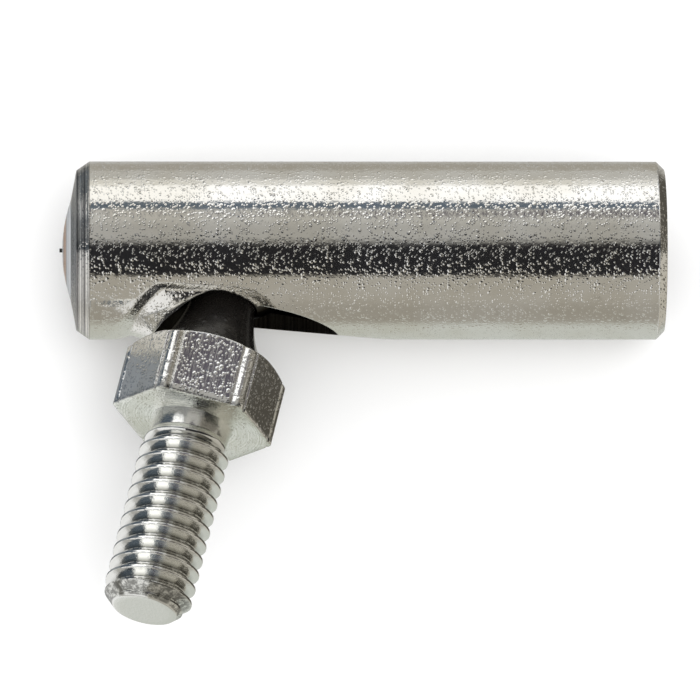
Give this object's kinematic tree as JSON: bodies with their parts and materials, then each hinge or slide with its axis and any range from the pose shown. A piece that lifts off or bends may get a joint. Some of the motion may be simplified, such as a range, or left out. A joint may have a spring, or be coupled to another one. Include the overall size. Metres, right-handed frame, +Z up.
{
  "type": "rod end bearing",
  "caption": "Right-angle ball joint rod end: round tapped housing with a swivelling hex-shouldered threaded ball stud leaving its side.",
  "frame": {"origin": "centre of the tapped mouth, in the plane of the housing's tapped end face", "axes": "+X out of the tapped mouth along the housing; the side opening faces -Y; +Z up with the housing lying on its side"},
  "size_m": [0.0539, 0.0432, 0.0177],
  "materials": {
    "zinc_shell": "bright zinc plate over pitted turned steel",
    "zinc_plug": "bright zinc plate, turned rings",
    "zinc_stud": "bright zinc plate, cold-drawn flats and rolled thread",
    "ball_steel": "ground and oiled",
    "seat_steel": "hardened, oiled",
    "spring_steel": "oiled spring wire"
  },
  "bodies": {
    "housing": {"housing": "zinc_shell", "end_plug": "zinc_plug", "spring": "spring_steel"},
    "inner_seat": {"inner_seat": "seat_steel"},
    "sprung_seat": {"sprung_seat": "seat_steel"},
    "ball": {"ball": "ball_steel"},
    "stud": {"stud": "zinc_stud"}
  },
  "joints": [
    {"name": "seat_roll", "type": "hinge", "parent": "housing", "child": "inner_seat", "pos_m": [-0.0381, 0, 0], "axis": [1, 0, 0], "range_deg": [-1, 21]},
    {"name": "seat_travel", "type": "slide", "parent": "inner_seat", "child": "sprung_seat", "axis": [1, 0, 0], "range_m": [-0.0002, 0], "stiffness_N_per_m": 3000, "springref_m": 0.005, "deforming": ["spring"]},
    {"name": "ball_swing", "type": "hinge", "parent": "sprung_seat", "child": "ball", "pos_m": [-0.0381, 0, 0], "axis": [0, 0.1771, 0.9842], "range_deg": [-0.5, 15]},
    {"name": "stud_spin", "type": "hinge", "parent": "ball", "child": "stud", "pos_m": [-0.0381, 0, 0], "axis": [-0.2317, -0.9574, 0.1723], "continuous": true}
  ]
}
